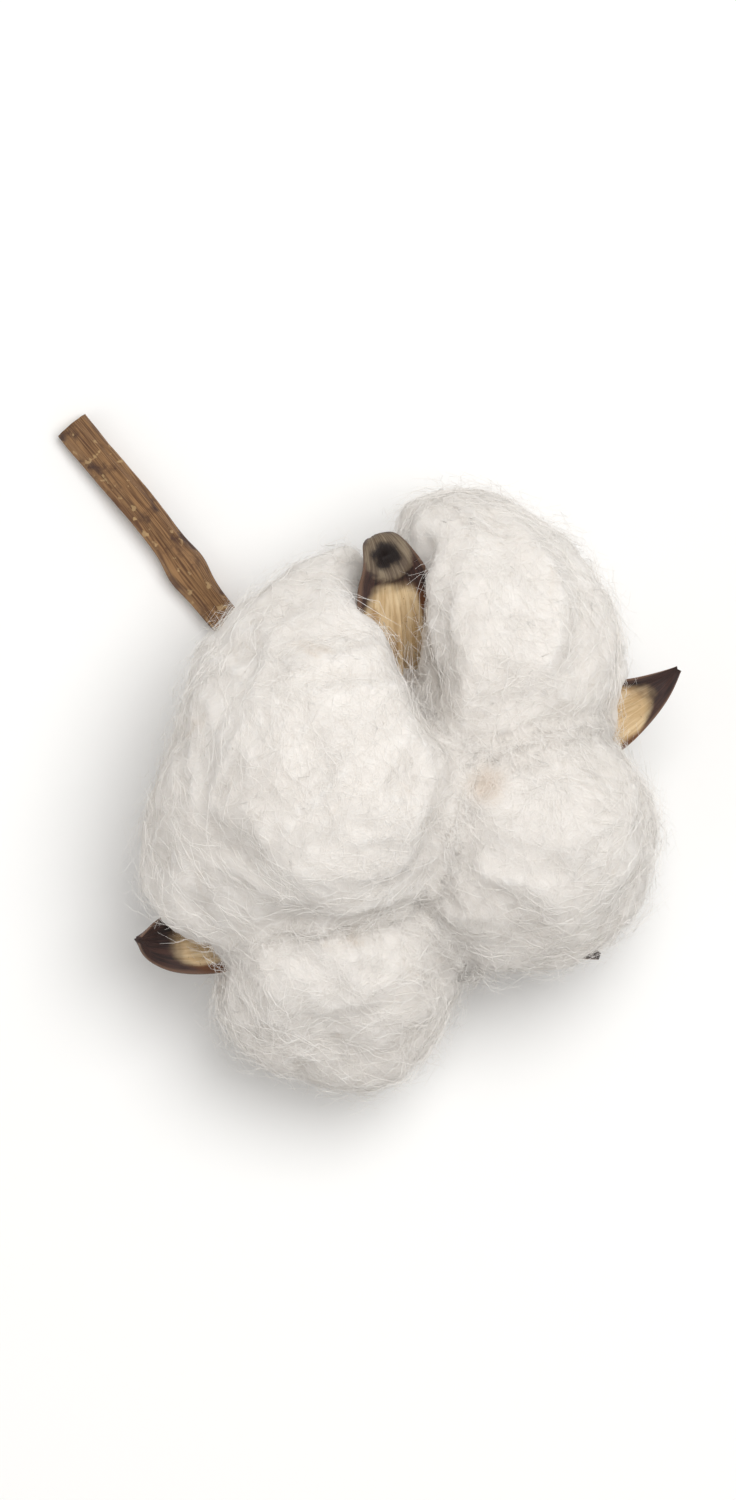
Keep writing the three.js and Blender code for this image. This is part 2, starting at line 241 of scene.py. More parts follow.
# %% [markdown]
# The bur is the dry capsule that held the lint before it opened: a woody cup and four boat-shaped
# arms with wavy rims that roll outward, a partition wall on the midline inside, and a sharp tip.
# It could be carved from a block, but each arm is one strip that bends as it dried, so a section
# swept along a bending line is nearer to how it grew. The arms follow the same midlines as the
# solids, with many more stations across and along. For each arm the table gives, in millimetres
# and degrees, where it starts, how it turns and rises, how its tip curls and how blunt it is.
# dark_from is where its dried tip begins, flat_tip how flat that is, and rim_lean makes the brown
# rim wider on one side. Only the upper arm's tip is rolled up into a small cup, the knob.

# %% Bur: the lines of its arms
TO_ORIGIN = Vector((3.581, -4.595, 0))
BUR_FOOT = Vector((-2, 1.5, 10))
BOLL_FRAME = Matrix.Translation(BUR_FOOT + TO_ORIGIN) @ Matrix.Rotation(math.radians(13), 4, "Y")
BOLL_TURN = BOLL_FRAME.to_3x3()
ARM_FOOT = {"radius": 6.3, "height": 2.4, "rise": 86, "part": 0.13}
ARM_HALF_WIDTH = 5.8
ARM_THICKNESS = 0.9
ARM_HOLLOW = 2.8
ARM_RIM_ROLL = 2.0
ARM_WAVE = 0.8
ARM_WAVES = 3.2
ARM_WALL = 4.5
ARM_WALL_END = 0.7
ARMS = {
    "upper": {"heading": 96, "turn": 21, "length": 36, "rise": 54, "tip_rise": 26, "curl": -125,
              "blunt": 4.5, "dark_from": 0.72, "flat_tip": 0.85, "rim_lean": -0.6, "knob": True},
    "right": {"heading": 13, "turn": 30, "length": 34, "rise": 24, "tip_rise": 40, "curl": -50,
              "blunt": 3.6, "dark_from": 0.84, "flat_tip": 0, "rim_lean": 0, "knob": False},
    "lower": {"heading": -50, "turn": 30, "length": 29, "rise": 7, "tip_rise": 24, "curl": -10,
              "blunt": 2.6, "dark_from": 0.8, "flat_tip": 0, "rim_lean": 0, "knob": False},
    "left": {"heading": 229, "turn": -68, "length": 37, "rise": -14, "tip_rise": 20, "curl": 45,
             "blunt": 4, "dark_from": 0.77, "flat_tip": 0.5, "rim_lean": 0.14, "knob": False},
}


def smoothstep(x, low, high):
    u = min(max((x - low) / (high - low), 0.0), 1.0)
    return u * u * (3 - 2 * u)


def arm_rise(arm, t):
    rise = arm["rise"] + (arm["tip_rise"] - arm["rise"]) * smoothstep(t, 0.2, 1.0)
    rise += arm["curl"] * smoothstep(t, 0.78, 1.0)
    in_cup = max(0.0, 1 - t / ARM_FOOT["part"])
    return rise + (ARM_FOOT["rise"] - rise) * in_cup


def arm_frames(arm, count, steps=8):
    """Stations along the midline: how far along, the place, the side and the inside."""
    first = math.radians(arm["heading"])
    point = Vector((math.cos(first) * ARM_FOOT["radius"], math.sin(first) * ARM_FOOT["radius"],
                    ARM_FOOT["height"]))
    frames = []
    for i in range(count * steps + 1):
        t = i / (count * steps)
        heading = math.radians(arm["heading"] + arm["turn"] * t * t)
        rise = math.radians(arm_rise(arm, t))
        run = Vector((math.cos(rise) * math.cos(heading), math.cos(rise) * math.sin(heading),
                      math.sin(rise)))
        if i % steps == 0:
            side = Vector((-math.sin(heading), math.cos(heading), 0))
            frames.append((t, BOLL_FRAME @ point, BOLL_TURN @ side, BOLL_TURN @ run.cross(side)))
        point = point + run * (arm["length"] / (count * steps))
    return frames


def arm_half_width(arm, t):
    foot = 0.6 + 0.4 * math.sin(min(t / 0.35, 1) * math.pi / 2)
    return ARM_HALF_WIDTH * foot * max(1 - t ** arm["blunt"], 0) ** 1.15 + 0.4


def arm_point(arm, station, s, lift, phase):
    t, point, side, inside = station
    fade = math.sin(math.pi * min(t * 1.15, 1))
    flatter = 1 - arm["flat_tip"] * smoothstep(t, 0.6, 0.82)
    hollow = ARM_HOLLOW * (1 - 0.75 * t) * flatter * s * s
    roll = ARM_RIM_ROLL * (0.4 + fade * 0.6) * (1 - t) * abs(s) ** 5
    wave = ARM_WAVE * fade * abs(s) ** 3 * math.sin(ARM_WAVES * 2 * math.pi * t + s * 1.7)
    crinkle = 0.22 * fade * abs(s) ** 2 * math.sin(47 * t + 5 * s + phase)
    dents = 0.10 * math.sin(21 * t + phase) * math.sin(6.5 * s + 3 * t)
    depth = hollow - roll + wave + crinkle + dents + lift
    return point + side * (arm_half_width(arm, t) * s) + inside * depth


print("bur: arms of", [arm["length"] for arm in ARMS.values()], "mm")

# %% [markdown]
# Each arm is a row of closed rings, stations along and lanes across, joined by faces and closed
# by a fan at each end. The same numbers that place a point are kept with it as attributes, so
# that the material knows how far along, across, inside or near the tip it is.

# %% Bur: points and faces of one arm
ALONG = 96
ACROSS = 15
KNOB_HOLLOW, KNOB_HOLLOW_RADIUS = 1.6, 1.2
KNOB_RING, KNOB_RING_RADIUS, KNOB_RING_WIDTH = 0.6, 2.5, 0.7
FAR_OFF = 9.0


def closed_sweep(rings):
    """Faces round a row of rings of equal size, with a fan over each end."""
    count = len(rings[0])
    points = [p for ring in rings for p in ring]
    faces = []
    for i in range(len(rings) - 1):
        for j in range(count):
            a, b = i * count + j, i * count + (j + 1) % count
            faces.append((a, b, b + count, a + count))
    for ring, flip in ((0, True), (len(rings) - 1, False)):
        middle = sum(rings[ring], Vector()) / count
        points.append(middle)
        m = len(points) - 1
        for j in range(count):
            a, b = ring * count + j, ring * count + (j + 1) % count
            faces.append((m, b, a) if flip else (m, a, b))
    return points, faces


def knob_shape(away):
    """The curled tip of one arm: a small hollow with a raised ring around it."""
    ring = KNOB_RING * math.exp(-((away - KNOB_RING_RADIUS) / KNOB_RING_WIDTH) ** 2)
    return ring - KNOB_HOLLOW * math.exp(-(away / KNOB_HOLLOW_RADIUS) ** 2)


def arm_parts(arm, phase):
    lanes = [-1 + 2 * i / (ACROSS - 1) for i in range(ACROSS)]
    rings, along, across, inner, dark, rim, knob = [], [], [], [], [], [], []
    stations = arm_frames(arm, ALONG)
    crest = max(stations, key=lambda station: station[1].z)[1]
    for station in stations:
        t = station[0]
        half = ARM_THICKNESS * (1 - 0.4 * t) / 2
        ring = []
        for s in lanes:
            lift = -half * (1 - 0.5 * abs(s) ** 6)
            ring.append((arm_point(arm, station, s, lift, phase), s, 0.0))
        ring.append((arm_point(arm, station, 1.03, 0, phase), 1.03, 0.5))
        wall = ARM_WALL * (1 - t / ARM_WALL_END) ** 0.8 if t < ARM_WALL_END else 0.0
        for s in reversed(lanes):
            lift = half * (1 - 0.5 * abs(s) ** 6)
            if abs(s) < 0.01:
                foot, top = half + wall * 0.55, half + wall + 0.1
                wall_corners = ((0.05, foot, 0.05), (0.025, top, 0.02),
                                (-0.025, top, -0.02), (-0.05, foot, -0.05))
                for beside, height, told in wall_corners:
                    ring.append((arm_point(arm, station, beside, height, phase), told, 1.0))
            else:
                ring.append((arm_point(arm, station, s, lift, phase), s, 1.0))
        ring.append((arm_point(arm, station, -1.03, 0, phase), -1.03, 0.5))
        curled = arm["knob"] and t > 0.6
        aways = [(p - crest).length if curled else FAR_OFF for p, _, _ in ring]
        rings.append([p + station[3] * knob_shape(away) for (p, _, _), away in zip(ring, aways)])
        along += [t] * len(ring)
        across += [s for _, s, _ in ring]
        inner += [i for _, _, i in ring]
        dark += [t - arm["dark_from"]] * len(ring)
        rim += [abs(s) + arm["rim_lean"] * s for _, s, _ in ring]
        knob += aways
    points, faces = closed_sweep(rings)
    along += [0.0, 1.0]
    across += [0.0, 0.0]
    inner += [0.5, 0.5]
    dark += [-1.0, 0.2]
    rim += [0.0, 1.0]
    knob += [FAR_OFF, FAR_OFF]
    return points, faces, along, across, inner, dark, rim, knob


def ring_round(radius, height, sides, change=None):
    """A ring about the boll's axis; change gives what to add to radius and height by angle."""
    ring = []
    for i in range(sides):
        angle = 2 * math.pi * i / sides
        out, up = change(angle) if change else (0.0, 0.0)
        r = radius + out
        ring.append(BOLL_FRAME @ Vector((r * math.cos(angle), r * math.sin(angle), height + up)))
    return ring


def give_attribute(obj, name, values):
    """A number for each point, which a material can read by name."""
    layer = obj.data.attributes.new(name, "FLOAT", "POINT")
    layer.data.foreach_set("value", np.asarray(values, dtype=np.float32))


def join_parts(name, parts, attributes):
    """One object from several closed parts, each with its own values for the named attributes."""
    points, faces = [], []
    values = {key: [] for key in attributes}
    for part in parts:
        start = len(points)
        points += part[0]
        faces += [tuple(i + start for i in face) for face in part[1]]
        for key, numbers in zip(attributes, part[2:]):
            values[key] += list(numbers)
    obj = mesh_object(name, [p * MM for p in points], faces)
    for key in attributes:
        give_attribute(obj, key, values[key])
    made = bmesh.new()
    made.from_mesh(obj.data)
    bmesh.ops.recalc_face_normals(made, faces=made.faces)
    made.to_mesh(obj.data)
    made.free()
    obj.data.shade_smooth()
    return obj


# %% Bur: its cup, and the whole of it
CUP_PROFILE = [
    (0.8, 0), (4.5, 0.3), (7, 1.8), (8.5, 3.6), (9, 4.6), (8.7, 5.1), (8.2, 5.2), (6, 4.9),
    (0.8, 4.2),
]
CUP_SIDES = 64
CUP_STEPS = 4


def cup_ribs(angle):
    return (0.12 * math.sin(8 * angle) + 0.06 * math.sin(19 * angle), 0.0)


cup_rings = []
for (r0, h0), (r1, h1) in zip(CUP_PROFILE, CUP_PROFILE[1:]):
    for k in range(CUP_STEPS):
        u = k / CUP_STEPS
        cup_rings.append(ring_round(r0 + (r1 - r0) * u, h0 + (h1 - h0) * u, CUP_SIDES, cup_ribs))
cup_rings.append(ring_round(*CUP_PROFILE[-1], CUP_SIDES))
cup_points, cup_faces = closed_sweep(cup_rings)
cup_across = [0.5 * math.sin(i / CUP_SIDES * 8 * math.pi) for i in range(len(cup_points))]
count = len(cup_points)
cup = (cup_points, cup_faces, [0.05] * count, cup_across, [0.0] * count, [-1.0] * count,
       [0.0] * count, [FAR_OFF] * count)
arm_list = [arm_parts(arm, 1.9 * i) for i, arm in enumerate(ARMS.values())]
bur = join_parts("bur_fine", [cup] + arm_list, ["along", "across", "inner", "dark", "rim", "knob"])
print("bur", len(bur.data.polygons), "faces")

# %% [markdown]
# Inside, the arms are straw-coloured and a little glossy, as they were sealed until the boll
# opened. The rims are brown, the outside is dark purple-brown with straw margins, and the last
# part of each arm has dried almost black on both sides. The knob is a grey-brown ring, a painted
# highlight on its raised rim, round a black hollow that is painted shade. All of it is mixed
# from the attributes, with noise to fray the borders.

# %% Bur: its skin
bur_skin, tree, shader = new_material("bur skin", 0.5)
along, across, inner = (attribute(tree, key) for key in ("along", "across", "inner"))
edge = maths(tree, "ABSOLUTE", across)
mask, height = streaked(tree, maths(tree, "MULTIPLY", along, 2.2), across, 3.2)
object_place = add(tree, "ShaderNodeTexCoord").outputs["Object"]
patches = noise(tree, object_place, 220, detail=4.0)
straw = mix(tree, mask, colour(232, 207, 166), colour(208, 177, 132))
straw = mix(tree, ranged(tree, patches, 0.52, 0.72), straw, colour(178, 142, 100))
specks = noise(tree, object_place, 1100, detail=3.0, roughness=0.7)
straw = mix(tree, ranged(tree, specks, 0.62, 0.72, 0.0, 0.7), straw, colour(128, 90, 56))
frayed = maths(tree, "MULTIPLY", patches, 0.3)
rim = ranged(tree, maths(tree, "ADD", attribute(tree, "rim"), frayed), 0.93, 1.1)
inside = mix(tree, rim, straw, colour(112, 70, 42))
outer = mix(tree, mask, colour(72, 45, 40), colour(50, 31, 30))
outer = mix(tree, ranged(tree, patches, 0.55, 0.75), outer, colour(110, 78, 56))
margin = ranged(tree, maths(tree, "ADD", edge, frayed), 0.80, 0.98)
outside = mix(tree, margin, outer, colour(186, 146, 96))
whole = mix(tree, inner, outside, inside)
edge_first = maths(tree, "MULTIPLY", maths(tree, "POWER", edge, 3.0), 0.10)
tip_line = maths(tree, "ADD", attribute(tree, "dark"), maths(tree, "MULTIPLY", patches, 0.12))
tip = ranged(tree, maths(tree, "ADD", tip_line, edge_first), 0.05, 0.12)
dark = mix(tree, mask, colour(70, 46, 40), colour(42, 29, 28))
dark = mix(tree, ranged(tree, edge, 0.86, 1.0, 0.0, 0.7), dark, colour(128, 98, 78))
crumbs = noise(tree, object_place, 520, detail=4.0, roughness=0.65)
knob = maths(tree, "ADD", attribute(tree, "knob"), maths(tree, "MULTIPLY", crumbs, 2.2))
# The knob's grey-brown ring is a painted highlight on its raised rim; the near-black in its middle
# is painted shade in its hollow.
ring = mix(tree, mask, colour(142, 127, 104), colour(100, 84, 68))
knob_highlight_and_shade = mix(tree, ranged(tree, knob, 2.3, 3.2), colour(24, 16, 12), ring)
dark = mix(tree, ranged(tree, knob, 3.5, 4.3, 0.85, 0.0), dark, knob_highlight_and_shade)
whole = mix(tree, tip, whole, dark)
link(tree, whole, shader.inputs["Base Color"])
link(tree, ranged(tree, height, 0.4, 1.0, 0.38, 0.68), shader.inputs["Roughness"])
link(tree, bump(tree, height, 0.55, 0.0004), shader.inputs["Normal"])
bur.data.materials.append(bur_skin)
print("bur skin", len(tree.nodes), "nodes")
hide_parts("bur")
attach(bur, "root")

# %% [markdown]
# The calyx is a thin papery cup with a torn wavy rim: a profile turned about the boll's axis,
# with waves added to the rim by angle. Three bract remains hang at its foot, dry and crumpled,
# grown together with it. They are swept strips again, as the arms are, but folded and creased.

# %% Calyx: the cup
CALYX_RADIUS = 9.9
CALYX_HEIGHT = 3.5
CALYX_SIDES = 120
CALYX_LOBES = 5
GAP = 0.35
BRACTS = [(20, 12, 4.2), (150, 10, 5), (262, 13, 3.8)]


def torn_rim(amount):
    def change(angle):
        wave = math.cos(CALYX_LOBES * angle + 0.6)
        rough = 0.16 * math.sin(23 * angle + 1) + 0.12 * math.sin(41 * angle)
        return (0.4 * wave * amount, (0.9 * wave + 0.4 * math.sin(9 * angle) + rough) * amount)
    return change


def crumple(angle):
    return (0.09 * math.sin(15 * angle) + 0.05 * math.sin(37 * angle), 0.0)


calyx_profile = [
    (1.5, -GAP - 0.75, 0), (4.8, -GAP - 0.55, 0), (6.6, 0.1, 0), (8, 0.95, 0), (9.4, 2.45, 0.5),
    (CALYX_RADIUS, CALYX_HEIGHT, 1), (CALYX_RADIUS - 0.35, CALYX_HEIGHT + 0.15, 1),
    (CALYX_RADIUS - 0.6, CALYX_HEIGHT + 0.05, 1), (8.75, 2.6, 0.5), (7.35, 1.35, 0), (4.6, 0, 0),
    (1.5, -GAP, 0),
]


def calyx_change(amount):
    rim = torn_rim(amount)
    def change(angle):
        out, up = rim(angle)
        return (out + crumple(angle)[0], up)
    return change


calyx_rings = [ring_round(r, h, CALYX_SIDES, calyx_change(a)) for r, h, a in calyx_profile]
calyx_points, calyx_faces = closed_sweep(calyx_rings)
calyx_part = (calyx_points, calyx_faces,
              [min(i // CALYX_SIDES / 11, 1) for i in range(len(calyx_points))],
              [8 * math.sin(2 * math.pi * i / CALYX_SIDES) for i in range(len(calyx_points))])


# %% Calyx: bract remains, and the whole of it
BRACT_STATIONS = 40
BRACT_LANES = [-1 + 2 * i / 8 for i in range(9)]


def bract_part(heading_degrees, length, width):
    heading = math.radians(heading_degrees)
    out = Vector((math.cos(heading), math.sin(heading), 0))
    side = Vector((-math.sin(heading), math.cos(heading), 0))
    up = Vector((0, 0, 1))
    rings, along, across = [], [], []
    for i in range(BRACT_STATIONS + 1):
        t = i / BRACT_STATIONS
        half = width / 2 * (0.75 + 0.25 * math.sin(t * 7)) * (1 - t ** 2) + 0.3
        half *= 1 + 0.16 * math.sin(t * 40 + heading_degrees)
        middle = (out * (3.4 + length * t * 0.85)
                  + up * (-0.78 + length * (0.1 * t - 0.25 * t * t))
                  + side * (1.2 * math.sin(t * 3 + heading_degrees)))
        ring = []
        for face, order in ((-1, BRACT_LANES), (1, list(reversed(BRACT_LANES)))):
            for s in order:
                fold = 1.4 * (1 - abs(s)) * t * (1 - t)
                crease = 0.3 * t * s * math.sin(t * 9) + 0.16 * t * math.sin(9 * s + 14 * t)
                thick = face * 0.3 * (1 - 0.5 * s * s)
                offset = side * (s * half) + up * (thick + fold + crease)
                ring.append(BOLL_FRAME @ (middle + offset))
                along.append(t)
                across.append(s)
        rings.append(ring)
    points, faces = closed_sweep(rings)
    return points, faces, along + [0, 1], across + [0, 0]


bract_parts = [bract_part(*b) for b in BRACTS]
calyx = join_parts("calyx_fine", [calyx_part] + bract_parts, ["along", "across"])
calyx_skin, tree, shader = new_material("calyx skin", 0.8)
along, across = attribute(tree, "along"), attribute(tree, "across")
mask, height = streaked(tree, along, across, 1.4)
object_place = add(tree, "ShaderNodeTexCoord").outputs["Object"]
patches = noise(tree, object_place, 300, detail=5.0, roughness=0.65)
dry = mix(tree, mask, colour(120, 88, 60), colour(82, 58, 42))
dry = mix(tree, ranged(tree, patches, 0.5, 0.68), dry, colour(138, 122, 92))
link(tree, dry, shader.inputs["Base Color"])
link(tree, bump(tree, maths(tree, "ADD", height, patches), 0.6, 0.0004), shader.inputs["Normal"])
calyx.data.materials.append(calyx_skin)
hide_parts("calyx")
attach(calyx, "root")
print("calyx", len(calyx.data.polygons), "faces")

# %% [markdown]
# The stalk swells under the calyx, turns over and lies along the table. It is woody, with low
# ridges and furrows along it, a knot where a leaf sat, and a clean cut at its end. A curve with
# a round bevel would do for a smooth rod. Here rings are set along the curve one by one, so that
# each point can have its own radius.

# %% Stem: the line it follows
STEM_RADIUS = 1.95
STEM_TOP_RADIUS = 4.6
STEM_SIDES = 64
STEM_RINGS = 220
STEM_PATH = [
    (-2.4, 1.5, 8.2), (-3.0, 1.6, 5.8), (-7, 5.6, 3.0), (-13, 11.8, 2.0), (-21, 20.5, 1.8),
    (-30, 32.5, 2.3), (-39.5, 44, 1.85),
]


def centripetal(points, count):
    """Places evenly spaced along a smooth curve through the points."""
    p = [Vector(q) for q in points]
    p = [p[0] * 2 - p[1]] + p + [p[-1] * 2 - p[-2]]
    fine = []
    for i in range(1, len(p) - 2):
        k = [0.0]
        for a, b in ((i - 1, i), (i, i + 1), (i + 1, i + 2)):
            k.append(k[-1] + (p[b] - p[a]).length ** 0.5)
        for n in range(60):
            u = k[1] + (k[2] - k[1]) * n / 60
            a1 = p[i - 1] * ((k[1] - u) / (k[1] - k[0])) + p[i] * ((u - k[0]) / (k[1] - k[0]))
            a2 = p[i] * ((k[2] - u) / (k[2] - k[1])) + p[i + 1] * ((u - k[1]) / (k[2] - k[1]))
            a3 = p[i + 1] * ((k[3] - u) / (k[3] - k[2])) + p[i + 2] * ((u - k[2]) / (k[3] - k[2]))
            b1 = a1 * ((k[2] - u) / (k[2] - k[0])) + a2 * ((u - k[0]) / (k[2] - k[0]))
            b2 = a2 * ((k[3] - u) / (k[3] - k[1])) + a3 * ((u - k[1]) / (k[3] - k[1]))
            fine.append(b1 * ((k[2] - u) / (k[2] - k[1])) + b2 * ((u - k[1]) / (k[2] - k[1])))
    fine.append(p[-2])
    lengths = np.concatenate([[0], np.cumsum([(b - a).length for a, b in zip(fine, fine[1:])])])
    wanted = np.linspace(0, lengths[-1], count)
    axes = np.array(fine)
    return [Vector([np.interp(w, lengths, axes[:, c]) for c in range(3)]) for w in wanted]


line = [p + TO_ORIGIN for p in centripetal(STEM_PATH, STEM_RINGS + 1)]
print("stem", round(sum((b - a).length for a, b in zip(line, line[1:]))), "mm long")

# %% Stem: rings along the line
normal = Vector((0, 1, 0))
stem_rings, stem_along, stem_across = [], [], []
for i, middle in enumerate(line):
    t = i / STEM_RINGS
    run = (line[min(i + 1, STEM_RINGS)] - line[max(i - 1, 0)]).normalized()
    normal = (normal - run * normal.dot(run)).normalized()
    beside = run.cross(normal)
    flare = (STEM_TOP_RADIUS - STEM_RADIUS) * math.exp(-((t / 0.07) ** 1.4))
    knot = 0.5 * math.exp(-(((t - 0.62) / 0.04) ** 2))
    ring = []
    for j in range(STEM_SIDES):
        angle = 2 * math.pi * j / STEM_SIDES
        ridge = 0.14 * math.sin(4 * angle + 5 * t) + 0.10 * math.sin(7 * angle + 20 * t)
        ridge += 0.05 * math.sin(13 * angle + 31 * t) * math.sin(40 * t + angle)
        ridge += 0.25 * math.exp(-((t / 0.1) ** 2)) * math.sin(9 * angle)
        radius = STEM_RADIUS + flare + knot + ridge
        place = middle + normal * (radius * math.cos(angle)) + beside * (radius * math.sin(angle))
        place.z = max(place.z, 0.0)
        ring.append(place)
        stem_along.append(t)
        stem_across.append(math.sin(angle) * 2 + math.cos(angle))
    stem_rings.append(ring)
stem_points, stem_faces = closed_sweep(stem_rings)
stem_part = (stem_points, stem_faces, stem_along + [0, 2], stem_across + [0, 0])
stem = join_parts("stem_fine", [stem_part], ["along", "across"])
print("stem", len(stem.data.polygons), "faces")

# %% Stem: its bark
bark, tree, shader = new_material("bark", 0.75)
along, across = attribute(tree, "along"), attribute(tree, "across")
mask, height = streaked(tree, maths(tree, "MULTIPLY", along, 4.0), across, 2.4)
object_place = add(tree, "ShaderNodeTexCoord").outputs["Object"]
patches = noise(tree, object_place, 260, detail=5.0, roughness=0.6)
brown = mix(tree, mask, colour(156, 118, 78), colour(98, 66, 42))
brown = mix(tree, ranged(tree, patches, 0.5, 0.66), brown, colour(74, 48, 35))
pores = noise(tree, object_place, 900, detail=2.0, roughness=0.5)
brown = mix(tree, ranged(tree, pores, 0.63, 0.7, 0.0, 0.8), brown, colour(190, 158, 112))
brown = mix(tree, ranged(tree, along, 0.22, 0.02), brown, colour(88, 62, 44))
pith = ranged(tree, along, 1.02, 1.3)
brown = mix(tree, pith, brown, colour(204, 176, 132))
link(tree, brown, shader.inputs["Base Color"])
link(tree, bump(tree, maths(tree, "ADD", height, patches), 0.6, 0.0004), shader.inputs["Normal"])
stem.data.materials.append(bark)
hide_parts("stem")
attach(stem, "root")
print("bark", len(tree.nodes), "nodes")

# %% [markdown]
# Lint is a mass of fine curled fibres, each finer than a hair. A lock is shown as a closed skin,
# soft and lumpy, with many thousands of fibres laid along it in drifts as if loosely combed, and
# a few that stand off and blur its outline. The skin is made from the lock's solid, so that it
# keeps its form: merged, turned into even faces, smoothed and swollen into tufts.

# %% Lint: the skin's colour
lint_skin, tree, shader = new_material("lint", 0.95)
object_place = add(tree, "ShaderNodeTexCoord").outputs["Object"]
cloudy = noise(tree, object_place, 70, detail=3.0)
stain = noise(tree, object_place, 120, detail=4.0, roughness=0.6, distortion=0.8)
threads = noise(tree, object_place, 1700, detail=3.0, roughness=0.6, distortion=2.5)
tufts = noise(tree, object_place, 420, detail=4.0, roughness=0.6, distortion=1.2)
STAIN_PLACE = (10.7 + 3.6, 0.3 - 4.6, 33)
STAIN_DEPTH = 0.2


def lint_white(tree, place, cloudy, stain):
    """Warm white, a little darker in clouds, tan in a few spots and at the boll's mouth."""
    white = mix(tree, cloudy, colour(243, 240, 236), colour(233, 228, 222))
    white = mix(tree, ranged(tree, stain, 0.62, 0.8, 0.0, 0.45), white, colour(218, 202, 182))
    from_above = add(tree, "ShaderNodeVectorMath", operation="MULTIPLY")
    link(tree, place, from_above.inputs[0])
    from_above.inputs[1].default_value = (1, 1, STAIN_DEPTH)
    away = add(tree, "ShaderNodeVectorMath", operation="DISTANCE")
    link(tree, from_above.outputs["Vector"], away.inputs[0])
    x, y, z = STAIN_PLACE
    away.inputs[1].default_value = (x * MM, y * MM, z * MM * STAIN_DEPTH)
    rough = maths(tree, "ADD", away.outputs["Value"], maths(tree, "MULTIPLY", stain, 0.003))
    spot = ranged(tree, rough, 0.0050, 0.0018, 0.0, 0.42)
    return mix(tree, spot, white, colour(228, 206, 182))


white = lint_white(tree, object_place, cloudy, stain)
# Painted shade: the lint is darkened to a warm grey in the creases where locks meet.
crease = attribute(tree, "crease")
white = mix(tree, maths(tree, "MULTIPLY", crease, 0.35), white, colour(214, 205, 193))
link(tree, white, shader.inputs["Base Color"])
shader.inputs["Subsurface Weight"].default_value = 0.4
shader.inputs["Subsurface Radius"].default_value = (1.0, 0.95, 0.9)
shader.inputs["Subsurface Scale"].default_value = 0.0025
shader.inputs["Sheen Weight"].default_value = 0.3
shader.inputs["Sheen Roughness"].default_value = 0.6
shader.inputs["Specular IOR Level"].default_value = 0.15
soft = bump(tree, tufts, 0.35, 0.0006)
link(tree, bump(tree, threads, 0.4, 0.0002, before=soft), shader.inputs["Normal"])
print("lint skin", len(tree.nodes), "nodes")

# %% Lint: the fibres' colour
fibre_skin, tree, shader = new_material("lint fibres", 0.9)
object_place = add(tree, "ShaderNodeTexCoord").outputs["Object"]
cloudy = noise(tree, object_place, 70, detail=3.0)
stain = noise(tree, object_place, 120, detail=4.0, roughness=0.6, distortion=0.8)
white = lint_white(tree, object_place, cloudy, stain)
paler = maths(tree, "MULTIPLY", attribute(tree, "shade"), 0.5)
white = mix(tree, paler, white, colour(246, 244, 241))
link(tree, white, shader.inputs["Base Color"])
shader.inputs["Sheen Weight"].default_value = 0.2
shader.inputs["Specular IOR Level"].default_value = 0.2
print("lint and fibres: two materials from one white")

# %% [markdown]
# The fibres could be hair, but the export drops hair. The fibres are Geometry Nodes, not hair:
# roots strewn over the skin, fewer near the bur and the stalk, a short line on each that follows
# the local drift, each of its points put back onto the skin and lifted a little, then a thin
# ribbon along it that lies flat on the skin. Loose ones rise off it and are turned at random.

# %% Lint: the fibre tree's inputs and helpers
fibres = bpy.data.node_groups.new("lint fibres", "GeometryNodeTree")
fibres.interface.new_socket("Skin", in_out="INPUT", socket_type="NodeSocketGeometry")
for name, kind, value in (
    ("Density", "NodeSocketFloat", 1.8e6), ("Length", "NodeSocketFloat", 0.007),
    ("Width", "NodeSocketFloat", 0.00006), ("Curl", "NodeSocketFloat", 0.0012),
    ("Loose", "NodeSocketFloat", 0.003), ("Seed", "NodeSocketInt", 1),
    ("Fibre Material", "NodeSocketMaterial", None),
):
    socket = fibres.interface.new_socket(name, in_out="INPUT", socket_type=kind)
    if value is not None:
        socket.default_value = value
fibres.interface.new_socket("Geometry", in_out="OUTPUT", socket_type="NodeSocketGeometry")
inlet = add(fibres, "NodeGroupInput")
outlet = add(fibres, "NodeGroupOutput")
skin = inlet.outputs["Skin"]


def gmath(operation, a, b=0.0):
    return maths(fibres, operation, a, b)


def vmath(operation, a, b=None, scale=None):
    node = add(fibres, "ShaderNodeVectorMath", operation=operation)
    for socket, value in ((node.inputs[0], a), (node.inputs[1], b), (node.inputs[3], scale)):
        if value is not None:
            give(fibres, socket, value)
    return node.outputs["Value" if operation in ("DOT_PRODUCT", "LENGTH") else "Vector"]


def random_number(low, high, shift):
    node = add(fibres, "FunctionNodeRandomValue", data_type="FLOAT")
    node.inputs[2].default_value = low
    node.inputs[3].default_value = high
    link(fibres, gmath("ADD", inlet.outputs["Seed"], shift), node.inputs["Seed"])
    return node.outputs[1]


def random_vector(shift):
    node = add(fibres, "FunctionNodeRandomValue", data_type="FLOAT_VECTOR")
    node.inputs[0].default_value = (-1, -1, -1)
    node.inputs[1].default_value = (1, 1, 1)
    link(fibres, gmath("ADD", inlet.outputs["Seed"], shift), node.inputs["Seed"])
    return node.outputs[0]


def field_vector(place, scale, detail):
    """A smooth random vector at each place, about -1 to 1."""
    node = add(fibres, "ShaderNodeTexNoise")
    node.inputs["Scale"].default_value = scale
    node.inputs["Detail"].default_value = detail
    link(fibres, place, node.inputs["Vector"])
    centred = vmath("SUBTRACT", node.outputs["Color"], (0.5, 0.5, 0.5))
    return vmath("SCALE", centred, scale=3.0)


def keep_number(geometry, name, value):
    node = add(fibres, "GeometryNodeStoreNamedAttribute", data_type="FLOAT", domain="INSTANCE")
    node.inputs["Name"].default_value = name
    link(fibres, geometry, node.inputs["Geometry"])
    link(fibres, value, node.inputs["Value"])
    return node.outputs["Geometry"]


